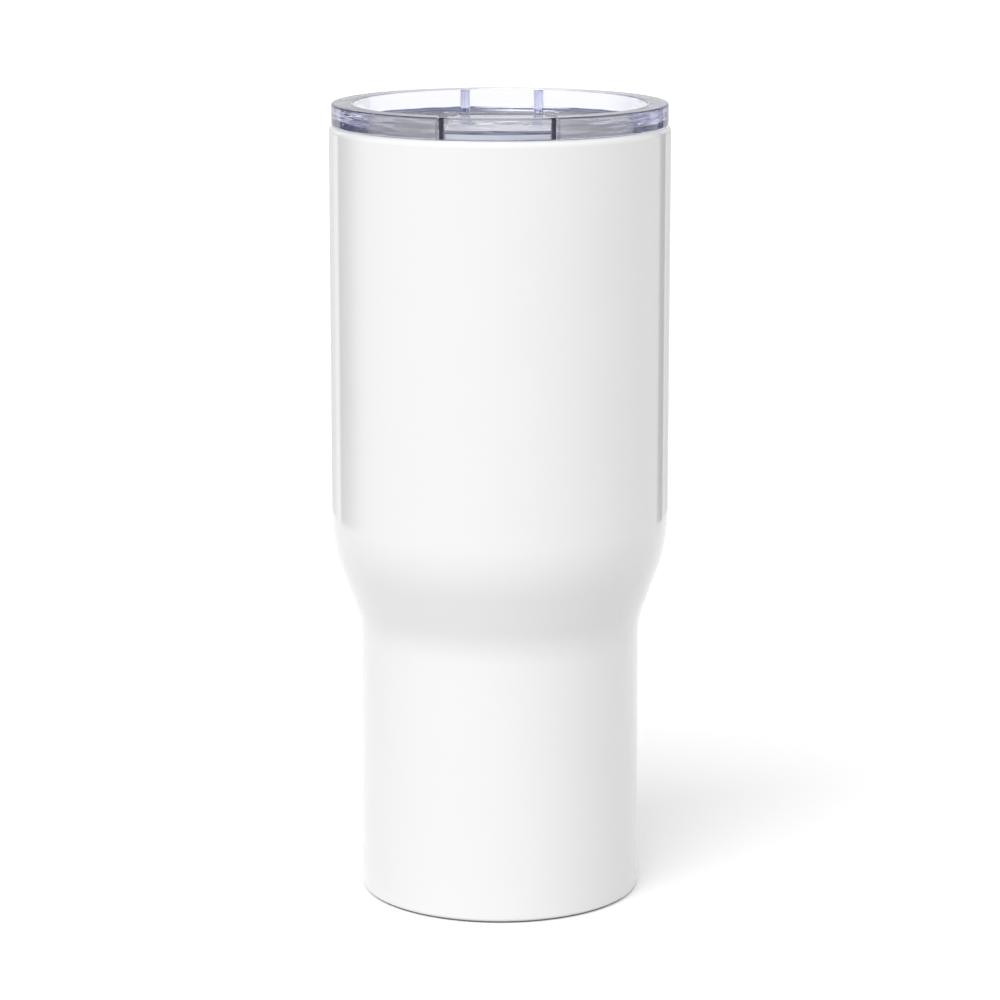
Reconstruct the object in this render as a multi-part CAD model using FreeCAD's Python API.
"""Insulated travel mug: a double-walled steel vacuum body with a narrow foot for car cup holders,
and a clear press-in lid whose front section is a hinged drinking flap.

Frame: millimetres, +Z up, origin at the centre of the foot on the table. The drinking side faces -Y.
Each piece is one solid in its own node. The lid pulls off along +Z, and the flap turns on its pin.
"""
import FreeCAD
import Part
import math
import os

Vector = FreeCAD.Vector
AXIS_Z = Vector(0, 0, 1)
ORIGIN = Vector(0, 0, 0)
FULL_TURN = 360

# ---- body: driving dimensions ------------------------------------------------------------------
body_radius = 44.5            # upper barrel, outside
holder_radius = 37.0          # lower barrel, outside, sized for a car cup holder
rim_height = 205.2            # top of the steel lip
shoulder_mid_height = 84.3    # middle of the slope between the two barrels
shoulder_angle = 20.0         # slope from the vertical, degrees
shoulder_top_arc = 40.0       # outside radius where the slope meets the upper barrel
shoulder_low_arc = 24.0       # outside radius where the slope meets the lower barrel
shell_wall = 0.6              # coated outer steel
liner_wall = 0.5              # bare inner steel
upper_vacuum_gap = 2.8        # between the walls in the upper barrel
lower_vacuum_gap = 2.3        # between the walls in the lower barrel
rim_corner = 1.8              # rounded top edge of the shell
lip_corner = 0.9              # rounded inner edge of the mouth
foot_corner = 1.2             # rounded bottom edge of the shell
weld_gap = 0.05               # butt joint between two welded stampings

# ---- liner bottom and base ---------------------------------------------------------------------
liner_floor_height = 8.5      # inside floor of the cup
liner_floor_corner = 6.0      # inside radius round that floor
liner_weld_height = 18.0      # where the liner's tube meets its bottom stamping
base_wall = 0.6               # base stamping
base_panel_height = 3.6       # underside of the recessed panel
foot_width = 2.6              # flat standing ring
foot_slope = 1.7              # how far the step between foot and panel leans in
base_bend = 1.0               # bend radius of the base stamping, on its underside
dimple_radius = 3.2           # flat top of the exhaust dimple
dimple_slope = 1.6            # how far the dimple's wall leans out
dimple_depth = 2.0            # how far the dimple rises into the vacuum
exhaust_radius = 1.0          # evacuation hole
bead_radius = 2.7             # glass solder bead over the hole
bead_depth = 1.5
bead_fit = 0.05               # bead to dimple
cover_inset = 0.85            # steel disc that hides the dimple, inside the corner of its recess
cover_wall = 0.5
cover_glue = 0.1              # adhesive film over the disc
cover_edge = 0.2              # broken edge of the disc
getter_inset = 13.45          # middle of the getter capsule, inside the corner of the panel
getter_radius = 4.5
getter_height = 1.6
getter_wall = 0.3
getter_pill_fit = 0.05

# ---- aluminium foil round the liner ------------------------------------------------------------
foil_wall = 0.12
foil_fit = 0.08               # foil to liner
foil_top_margin = 6.0         # bare liner left under the lip

# ---- lid: driving dimensions -------------------------------------------------------------------
ring_height = 5.7             # visible clear ring above the steel lip
ring_set_back = 0.7           # ring inside the body's outside
ring_width = 5.4              # from the ring's outside to its well
ring_outer_round = 0.7
ring_inner_round = 1.0
ring_seat_round = 0.4         # lower outside edge, next to the steel lip
well_round = 0.8
lid_seat_gap = 0.1            # ring to steel lip
lid_floor = 2.0               # floor thickness
plug_fit = 0.7                # plug wall to liner
plug_wall = 2.9
plug_depth = 10.7             # below the ring's seat
plug_round = 0.8
plug_inner_round = 0.5
groove_depth = 1.2            # gasket groove
groove_height = 4.0
groove_low = 3.0              # groove's lower edge above the plug's bottom
gasket_fit = 0.05             # gasket to groove
gasket_lip_gap = 0.12         # gasket lips to liner, the relaxed silicone only just touches in use
gasket_lip_tip = 0.5          # thickness of a lip at its tip

# ---- openings, ribs and hinge lugs of the lid ---------------------------------------------------
notch_gap = 0.3               # ring to the flap's front
notch_drop = 0.3              # wall of the well cut lower than the ring's seat under the flap
drink_half_x = 10.0           # drinking slot
drink_half_y = 3.5
drink_inset = 6.0             # middle of the slot to the inside of the plug wall
vent_radius = 1.5
vent_y = 8.0
post_x = 9.85                 # two ribs at the back of the well, where the open flap rests
post_width = 2.56
post_reach = 2.4              # how far a rib stands off the wall
post_round = 0.4
post_groove = 0.5             # radius of the groove down each rib's face
post_root = 1.0               # how far a rib runs into the wall
lug_gap = 0.4                 # hinge lug to the flap's barrel
lug_wall = 1.0                # lug beyond the end of the pin
lug_half = 1.9                # half depth of a lug
lug_rise = 1.6                # top of a lug over the pin's centre
lug_round = 0.5

# ---- flap --------------------------------------------------------------------------------------
flap_half = 12.8              # half width of the plate that lies in the well
flap_plate = 2.0
flap_depth = 4.9              # from the ring's top to the plate's top
flap_floor_gap = 0.9          # plate to the lid's floor
flap_reach_gap = 0.9          # plate to the wall of the well
flap_wall = 2.2               # thickness of its piece of the ring
flap_under_gap = 0.3          # flap to steel lip
tray_half = 14.57             # half width of the tray over the drinking end
tray_side = 1.07              # side walls of the tray
tray_lift = 0.7               # underside of the tray floor above the plate's top
tray_floor = 1.0
tray_web = 1.5                # wall that joins the tray to the plate below it
tray_top_run = 4.2            # length of the side walls' level top, behind the ring piece
tray_slope_run = 16.4         # from there to where they have run down to the tray floor
flap_taper_start = 9.0        # Y where the plate starts to narrow
flap_edge_round = 0.4
hinge_y = 19.0
hinge_drop = 1.2              # pin centre below the plate's top
barrel_radius = 1.5
barrel_half = 11.2
pin_radius = 0.8
pin_running_fit = 0.06
pin_cradle_fit = 0.02
pin_half = 14.2
pin_chamfer = 0.15
cradle_slot = 1.4             # snap slot over the pin, a little narrower than the pin
cradle_end_play = 0.1

# ---- silicone under the flap -------------------------------------------------------------------
seal_clearance = 0.3          # plug to drinking slot and vent
seal_floor_gap = 0.15         # flange to the lid's floor
seal_flange_margin = 1.3      # flange beyond the slot
seal_plug_depth = 1.5
seal_key_inset = 2.8          # key inside the plug's outline
seal_key_height = 0.9
seal_fit = 0.05               # silicone to flap
seal_round = 0.5
vent_flange = 1.1             # flange beyond the vent
vent_stem_radius = 1.0
vent_stem_height = 1.1
vent_plug_depth = 1.0

# ---- worked out from the above -----------------------------------------------------------------
liner_radius_top = body_radius - shell_wall - upper_vacuum_gap - liner_wall        # inside
liner_radius_low = holder_radius - shell_wall - lower_vacuum_gap - liner_wall      # inside
weld_radius = body_radius - rim_corner
foot_radius = holder_radius - foot_corner
foot_edge = foot_radius - weld_gap
panel_radius = foot_edge - foot_width - foot_slope
cover_radius = panel_radius - cover_inset
getter_offset = panel_radius - getter_inset
ring_base = rim_height + lid_seat_gap
ring_radius = body_radius - ring_set_back
ring_top = rim_height + ring_height
ring_inner = ring_radius - ring_width
plate_top = ring_top - flap_depth
flap_low = plate_top - flap_plate
floor_top = flap_low - flap_floor_gap
floor_low = floor_top - lid_floor
plug_radius = liner_radius_top - plug_fit
plug_inner = plug_radius - plug_wall
plug_low = ring_base - plug_depth
groove_z = plug_low + groove_low
groove_radius = plug_radius - groove_depth
flap_reach = ring_inner - flap_reach_gap
flap_front_low = ring_base + flap_under_gap
tray_low = plate_top + tray_lift
tray_high = tray_low + tray_floor
tray_top_end = tray_top_run - (ring_radius - flap_wall)
tray_end = tray_top_end + tray_slope_run
notch_half = tray_half + notch_gap
drink_y = drink_inset - plug_inner
hinge_z = plate_top - hinge_drop
seal_low = floor_top + seal_floor_gap


# ---- small helpers -----------------------------------------------------------------------------
def unit(a, b):
    """Unit direction from a to b, both (x, y) pairs."""
    length = math.hypot(b[0] - a[0], b[1] - a[1])
    return (b[0] - a[0]) / length, (b[1] - a[1]) / length


def offset_corners(corners, distance):
    """The corners of the parallel outline, to the left of the way it runs for a positive distance."""
    lines = []
    for a, b in zip(corners, corners[1:]):
        dx, dy = unit(a, b)
        lines.append(((a[0] - dy * distance, a[1] + dx * distance), (dx, dy)))
    first, last = lines[0], lines[-1]
    moved = [first[0]]
    for (p, d), (q, e) in zip(lines, lines[1:]):
        cross = d[0] * e[1] - d[1] * e[0]
        along = ((q[0] - p[0]) * e[1] - (q[1] - p[1]) * e[0]) / cross
        moved.append((p[0] + d[0] * along, p[1] + d[1] * along))
    dx, dy = last[1]
    end = corners[-1]
    moved.append((end[0] - dy * distance, end[1] + dx * distance))
    return moved


def offset_radii(corners, radii, distance):
    """Corner radii of that parallel outline: smaller inside a bend, larger outside it."""
    result = []
    for a, b, c, radius in zip(corners, corners[1:], corners[2:], radii):
        d, e = unit(a, b), unit(b, c)
        left_turn = d[0] * e[1] - d[1] * e[0] > 0
        result.append(radius - distance if left_turn else radius + distance)
    return result


def rounded_edges(corners, radii, lift):
    """Lines and tangent arcs along an outline. lift turns an (x, y) pair into a point in space."""
    edges = []
    at = corners[0]
    for a, b, c, radius in zip(corners, corners[1:], corners[2:], radii):
        d, e = unit(a, b), unit(b, c)
        turn = math.atan2(d[0] * e[1] - d[1] * e[0], d[0] * e[0] + d[1] * e[1])
        if radius <= 0 or abs(turn) < 1e-9:
            edges.append(Part.makeLine(lift(at), lift(b)))
            at = b
            continue
        back = radius * math.tan(abs(turn) / 2)
        start = (b[0] - d[0] * back, b[1] - d[1] * back)
        end = (b[0] + e[0] * back, b[1] + e[1] * back)
        side = 1 if turn > 0 else -1
        centre = (start[0] - d[1] * radius * side, start[1] + d[0] * radius * side)
        to_corner = unit(centre, b)
        middle = (centre[0] + to_corner[0] * radius, centre[1] + to_corner[1] * radius)
        if math.hypot(start[0] - at[0], start[1] - at[1]) > 1e-6:
            edges.append(Part.makeLine(lift(at), lift(start)))
        edges.append(Part.Arc(lift(start), lift(middle), lift(end)).toShape())
        at = end
    if math.hypot(corners[-1][0] - at[0], corners[-1][1] - at[1]) > 1e-6:
        edges.append(Part.makeLine(lift(at), lift(corners[-1])))
    return edges


def in_section(point):
    """(radius, height) to a point in the XZ half plane."""
    return Vector(point[0], 0, point[1])


def revolved(edges):
    """The solid swept by a closed outline in the XZ half plane, turned once round Z."""
    face = Part.Face(Part.Wire(Part.__sortEdges__(edges)))
    return face.revolve(ORIGIN, AXIS_Z, FULL_TURN)


def sheet_metal(corners, radii, wall):
    """A round stamping of constant wall. The wall lies left of the outline for a positive wall."""
    inner = offset_corners(corners, wall)
    inner_radii = offset_radii(corners, radii, wall)
    edges = rounded_edges(corners, radii, in_section)
    edges += rounded_edges(inner, inner_radii, in_section)
    edges.append(Part.makeLine(in_section(corners[0]), in_section(inner[0])))
    edges.append(Part.makeLine(in_section(corners[-1]), in_section(inner[-1])))
    return revolved(edges)


def turned(corners, radii):
    """A solid of revolution from a closed outline, one corner radius per corner after the first."""
    closed = corners + [corners[0]]
    return revolved(rounded_edges(closed, radii, in_section))


def prism(corners, low, high, radii=None):
    """An upright prism on a closed plan outline."""
    closed = corners + [corners[0]]
    edges = rounded_edges(closed, radii or [0] * (len(corners) - 1), lambda p: Vector(p[0], p[1], low))
    face = Part.Face(Part.Wire(Part.__sortEdges__(edges)))
    return face.extrude(Vector(0, 0, high - low))


def block(x0, x1, y0, y1, z0, z1):
    """A box between two corners."""
    return Part.makeBox(x1 - x0, y1 - y0, z1 - z0, Vector(x0, y0, z0))


def cylinder(radius, low, high, x=0, y=0):
    """An upright cylinder."""
    return Part.makeCylinder(radius, high - low, Vector(x, y, low))


def tube(outer, inner, low, high):
    """An upright tube on the axis."""
    return cylinder(outer, low, high).cut(cylinder(inner, low, high))


def cross_bar(radius, half_length, y, z):
    """A cylinder along X, centred on the YZ plane."""
    return Part.makeCylinder(radius, 2 * half_length, Vector(-half_length, y, z), Vector(1, 0, 0))


def slot_prism(half_x, half_y, y, low, high):
    """An upright slot with round ends, its long side along X."""
    bar = block(half_y - half_x, half_x - half_y, y - half_y, y + half_y, low, high)
    ends = [cylinder(half_y, low, high, side * (half_x - half_y), y) for side in (-1, 1)]
    return bar.fuse(ends).removeSplitter()


def rounded(solid, radius, wanted):
    """Fillets the edges that wanted(edge) picks, limited to what the solid can take."""
    edges = [e for e in solid.Edges if wanted(e)]
    return solid.makeFillet(radius, edges) if edges else solid


def level_edge(height, tolerance=1e-4):
    """Picks the edges that lie level at a height."""
    def wanted(edge):
        box = edge.BoundBox
        return abs(box.ZMin - height) < tolerance and abs(box.ZMax - height) < tolerance
    return wanted


def upright_at(y, tolerance=1e-4):
    """Picks the upright edges in the plane of a Y."""
    def wanted(edge):
        box = edge.BoundBox
        upright = box.ZLength > 2 * box.XLength
        return upright and abs(box.YMin - y) < tolerance and abs(box.YMax - y) < tolerance
    return wanted


def save(node, shape):
    """Writes one node, which has to be valid closed solids."""
    shape = shape.removeSplitter()
    solids = shape.Solids
    assert solids and shape.isValid(), node
    kept = solids[0] if len(solids) == 1 else Part.makeCompound(solids)
    kept.exportStep(os.path.join("parts", node + ".step"))
    print("%-14s solids %d  volume %9.2f mm3" % (node, len(solids), kept.Volume))


# ---- body --------------------------------------------------------------------------------------
def shoulder_corners(low_radius, top_radius):
    """Where the slope's line crosses the two barrels."""
    half_rise = (top_radius - low_radius) / 2 / math.tan(math.radians(shoulder_angle))
    return [(low_radius, shoulder_mid_height - half_rise), (top_radius, shoulder_mid_height + half_rise)]


def make_outer_shell():
    """Coated shell: curled foot, lower barrel, shoulder, upper barrel and the turned-in rim."""
    corners = [(foot_radius, 0), (holder_radius, 0)]
    corners += shoulder_corners(holder_radius, body_radius)
    corners += [(body_radius, rim_height), (weld_radius, rim_height)]
    radii = [foot_corner, shoulder_low_arc, shoulder_top_arc, rim_corner]
    return sheet_metal(corners, radii, shell_wall)


def liner_outline():
    """Inside surface of the liner's tube, from its weld up and out to the lip, with its radii."""
    corners = [(liner_radius_low, liner_weld_height)]
    corners += shoulder_corners(liner_radius_low, liner_radius_top)
    corners += [(liner_radius_top, rim_height), (weld_radius - weld_gap, rim_height)]
    inward = shell_wall + (upper_vacuum_gap + lower_vacuum_gap) / 2 + liner_wall
    radii = [shoulder_low_arc + inward, shoulder_top_arc - inward, lip_corner]
    return corners, radii


def make_inner_liner():
    """Steel tube of the cup, flared at the mouth into the lip that is welded to the shell."""
    corners, radii = liner_outline()
    return sheet_metal(corners, radii, -liner_wall)


def make_liner_bottom():
    """Stamped cup that closes the liner's tube."""
    corners = [(0, liner_floor_height), (liner_radius_low, liner_floor_height)]
    corners.append((liner_radius_low, liner_weld_height))
    return sheet_metal(corners, [liner_floor_corner], -liner_wall)


def make_heat_foil():
    """Aluminium foil wrapped round the liner in the vacuum."""
    corners, radii = liner_outline()
    start, low, high, top = corners[:4]
    wrap = [start, low, high, (top[0], top[1] - foil_top_margin)]
    out = -(liner_wall + foil_fit)
    face = offset_corners(wrap, out)
    face_radii = offset_radii(wrap, radii[:2], out)
    return sheet_metal(face, face_radii, -foil_wall)


def make_base_cap():
    """Base stamping: standing ring, recessed panel and the exhaust dimple at its centre."""
    dimple_top = base_panel_height + dimple_depth
    corners = [
        (exhaust_radius, dimple_top),
        (dimple_radius, dimple_top),
        (dimple_radius + dimple_slope, base_panel_height),
        (panel_radius, base_panel_height),
        (foot_edge - foot_width, 0),
        (foot_edge, 0),
    ]
    radii = [base_bend / 2, base_bend, base_bend, base_bend]
    return sheet_metal(corners, radii, base_wall)


def make_vacuum_seal():
    """Glass solder bead that closes the exhaust hole from below."""
    top = base_panel_height + dimple_depth - bead_fit
    bead = cylinder(bead_radius, top - bead_depth, top)
    bead = rounded(bead, bead_depth / 2, level_edge(top - bead_depth))
    stem = cylinder(exhaust_radius - bead_fit, top - bead_fit, top + base_wall + bead_fit)
    return bead.fuse(stem)


def make_base_cover():
    """Thin steel disc glued up into the recess over the bead."""
    top = base_panel_height - cover_glue
    disc = cylinder(cover_radius, top - cover_wall, top)
    return rounded(disc, cover_edge, level_edge(top - cover_wall))


def make_getter():
    """Getter capsule spot-welded on the panel inside the vacuum: its steel cup and the pill in it."""
    low = base_panel_height + base_wall
    cup = cylinder(getter_radius, low, low + getter_height, 0, getter_offset)
    hollow_radius = getter_radius - getter_wall
    hollow = cylinder(hollow_radius, low + getter_wall, low + getter_height, 0, getter_offset)
    pill_low = low + getter_wall + getter_pill_fit
    pill_high = low + getter_height - getter_wall
    pill = cylinder(hollow_radius - getter_pill_fit, pill_low, pill_high, 0, getter_offset)
    return cup.cut(hollow), pill


# ---- lid ---------------------------------------------------------------------------------------
def lid_turning():
    """Ring, floor and plug wall of the lid as one turned shape, with the gasket groove."""
    corners = [
        (plug_radius, ring_base), (ring_radius, ring_base), (ring_radius, ring_top),
        (ring_inner, ring_top), (ring_inner, floor_top), (0, floor_top), (0, floor_low),
        (plug_inner, floor_low), (plug_inner, plug_low), (plug_radius, plug_low),
        (plug_radius, groove_z), (groove_radius, groove_z),
        (groove_radius, groove_z + groove_height), (plug_radius, groove_z + groove_height),
    ]
    radii = [
        ring_seat_round, ring_outer_round, ring_inner_round, well_round, 0, 0,
        well_round, plug_inner_round, plug_round, 0, 0, 0, 0,
    ]
    return turned(corners, radii)


def make_lid_shell():
    """Clear lid: turned ring, floor and plug, with the flap's notch, the openings, ribs and lugs."""
    lid = lid_turning()
    notch = tube(2 * ring_radius, flap_reach, ring_base - notch_drop, 2 * ring_top)
    lid = lid.cut(notch.common(front_slice(notch_half)))
    for side in (-1, 1):
        lid = lid.fuse([make_post(side * post_x), make_lug(side)])
    lid = lid.cut(slot_prism(drink_half_x, drink_half_y, drink_y, floor_low - 1, floor_top))
    lid = lid.cut(cylinder(vent_radius, floor_low - 1, floor_top, 0, vent_y))
    return lid.cut(make_cradles())


def make_post(x):
    """A rib on the back wall of the well, from the lid's floor to the top of the ring."""
    wall_y = math.sqrt(ring_inner ** 2 - x ** 2)
    half = post_width / 2
    rib = block(x - half, x + half, wall_y - post_reach, wall_y + post_root, floor_top, ring_top)
    rib = rounded(rib, post_round, upright_at(wall_y - post_reach))
    return rib.cut(cylinder(post_groove, 0, 2 * ring_top, x, wall_y - post_reach))


def make_lug(side):
    """A lug on the floor beside the flap's barrel, which carries one end of the pin."""
    inside = side * (barrel_half + lug_gap)
    outside = side * (pin_half + cradle_end_play + lug_wall)
    x0, x1 = sorted((inside, outside))
    top = hinge_z + lug_rise
    lug = block(x0, x1, hinge_y - lug_half, hinge_y + lug_half, floor_top, top)
    return rounded(lug, lug_round, level_edge(top))


def make_cradles():
    """Cut for the pin's two ends: a round seat in each lug with a snap slot over it."""
    half = pin_half + cradle_end_play
    top = hinge_z + 2 * lug_rise
    seat = cross_bar(pin_radius + pin_cradle_fit, half, hinge_y, hinge_z)
    slot = block(-half, half, hinge_y - cradle_slot / 2, hinge_y + cradle_slot / 2, hinge_z, top)
    return seat.fuse(slot)


def make_lid_gasket():
    """Silicone ring in the groove, with two lips that wipe the liner."""
    low = groove_z + gasket_fit
    high = groove_z + groove_height - gasket_fit
    tip = liner_radius_top - gasket_lip_gap
    root = plug_radius
    pitch = (high - low) / 2
    corners = [(groove_radius + gasket_fit, low), (root, low)]
    for z in (low, low + pitch):
        middle = z + pitch / 2
        corners.append((tip, middle - gasket_lip_tip / 2))
        corners.append((tip, middle + gasket_lip_tip / 2))
        corners.append((root, z + pitch))
    corners.append((groove_radius + gasket_fit, high))
    return turned(corners, [0] * (len(corners) - 1))


def make_hinge_pin():
    """Steel pin, snapped into the cradles and running through the flap's barrel."""
    pin = cross_bar(pin_radius, pin_half, hinge_y, hinge_z)
    ends = [e for e in pin.Edges if e.BoundBox.XLength < 1e-4]
    return pin.makeChamfer(pin_chamfer, ends)


# ---- flap --------------------------------------------------------------------------------------
def flap_ring_piece():
    """The flap's piece of the ring, thinner than the ring, with the ring's rounded outer edge."""
    corners = [
        (ring_radius - flap_wall, flap_front_low), (ring_radius, flap_front_low),
        (ring_radius, ring_top), (ring_radius - flap_wall, ring_top),
    ]
    ring = turned(corners, [ring_seat_round, ring_outer_round, flap_edge_round])
    return ring.common(front_slice(tray_half))


def front_slice(half):
    """Everything within half of the centre line, in front of the lid's middle."""
    return block(-half, half, -2 * ring_radius, 0, 0, 2 * ring_top)


def flap_side_wall(side):
    """A side wall of the tray, full height at the ring and running down to the tray floor."""
    profile = [
        (-ring_radius, flap_front_low), (-ring_radius, ring_top), (tray_top_end, ring_top),
        (tray_end, tray_high), (tray_end, flap_front_low),
    ]
    points = [Vector(side * tray_half, y, z) for y, z in profile]
    face = Part.Face(Part.makePolygon(points + [points[0]]))
    wall = face.extrude(Vector(-side * tray_side, 0, 0))
    return wall.common(cylinder(ring_radius - flap_wall / 2, 0, 2 * ring_top))


def flap_tray():
    """The raised tray over the drinking end: floor, side walls, and the web down to the plate."""
    inside = cylinder(ring_radius - flap_wall / 2, 0, 2 * ring_top)
    floor = block(-tray_half, tray_half, -ring_radius, tray_end, tray_low, tray_high).common(inside)
    web = tube(flap_reach, flap_reach - tray_web, flap_low, tray_high).common(front_slice(flap_half))
    tray = floor.fuse([web, flap_ring_piece()])
    return tray.fuse([flap_side_wall(side) for side in (-1, 1)])


def make_flap():
    """Clear drinking flap: the tray in front, the plate in the well and the hinge barrel behind."""
    outline = [
        (-flap_half, -ring_radius), (flap_half, -ring_radius), (flap_half, flap_taper_start),
        (barrel_half, hinge_y - barrel_radius), (barrel_half, hinge_y),
        (-barrel_half, hinge_y), (-barrel_half, hinge_y - barrel_radius), (-flap_half, flap_taper_start),
    ]
    inside = cylinder(flap_reach, 0, 2 * ring_top)
    flap = prism(outline, flap_low, plate_top).common(inside).fuse(flap_tray())
    flap = flap.fuse(cross_bar(barrel_radius, barrel_half, hinge_y, hinge_z))
    flap = flap.cut(cross_bar(pin_radius + pin_running_fit, 2 * barrel_half, hinge_y, hinge_z))
    flap = flap.cut(seal_key(seal_fit))
    stem_top = flap_low + vent_stem_height + seal_fit
    return flap.cut(cylinder(vent_stem_radius + seal_fit, 0, stem_top, 0, vent_y))


def seal_key(extra):
    """Block on top of the drinking seal that sits in the flap, or with extra the pocket for it."""
    half_x = drink_half_x - seal_key_inset + extra
    half_y = drink_half_y - seal_key_inset / 2 + extra
    return slot_prism(half_x, half_y, drink_y, flap_low - seal_fit, flap_low + seal_key_height + extra)


def make_drink_seal():
    """Silicone plug under the flap that closes the drinking slot."""
    half_x = drink_half_x + seal_flange_margin
    half_y = drink_half_y + seal_flange_margin
    flange = slot_prism(half_x, half_y, drink_y, seal_low, flap_low - seal_fit)
    plug_x = drink_half_x - seal_clearance
    plug_y = drink_half_y - seal_clearance
    plug_bottom = floor_top - seal_plug_depth
    plug = slot_prism(plug_x, plug_y, drink_y, plug_bottom, seal_low)
    plug = rounded(plug, seal_round, level_edge(plug_bottom))
    return flange.fuse([plug, seal_key(0)])


def make_vent_seal():
    """Small silicone stud under the flap that closes the air vent."""
    flange = cylinder(vent_radius + vent_flange, seal_low, flap_low - seal_fit, 0, vent_y)
    plug_bottom = floor_top - vent_plug_depth
    plug = cylinder(vent_radius - seal_clearance, plug_bottom, seal_low, 0, vent_y)
    plug = rounded(plug, seal_round, level_edge(plug_bottom))
    stem = cylinder(vent_stem_radius, flap_low - seal_fit, flap_low + vent_stem_height, 0, vent_y)
    return flange.fuse([plug, stem])


def main():
    os.makedirs("parts", exist_ok=True)
    getter_cup, getter_pill = make_getter()
    nodes = {
        "outer_shell": make_outer_shell(),
        "inner_liner": make_inner_liner(),
        "liner_bottom": make_liner_bottom(),
        "heat_foil": make_heat_foil(),
        "base_cap": make_base_cap(),
        "vacuum_seal": make_vacuum_seal(),
        "base_cover": make_base_cover(),
        "getter_cup": getter_cup,
        "getter_pill": getter_pill,
        "lid_shell": make_lid_shell(),
        "lid_gasket": make_lid_gasket(),
        "hinge_pin": make_hinge_pin(),
        "flap": make_flap(),
        "drink_seal": make_drink_seal(),
        "vent_seal": make_vent_seal(),
    }
    for node, shape in nodes.items():
        save(node, shape)


main()
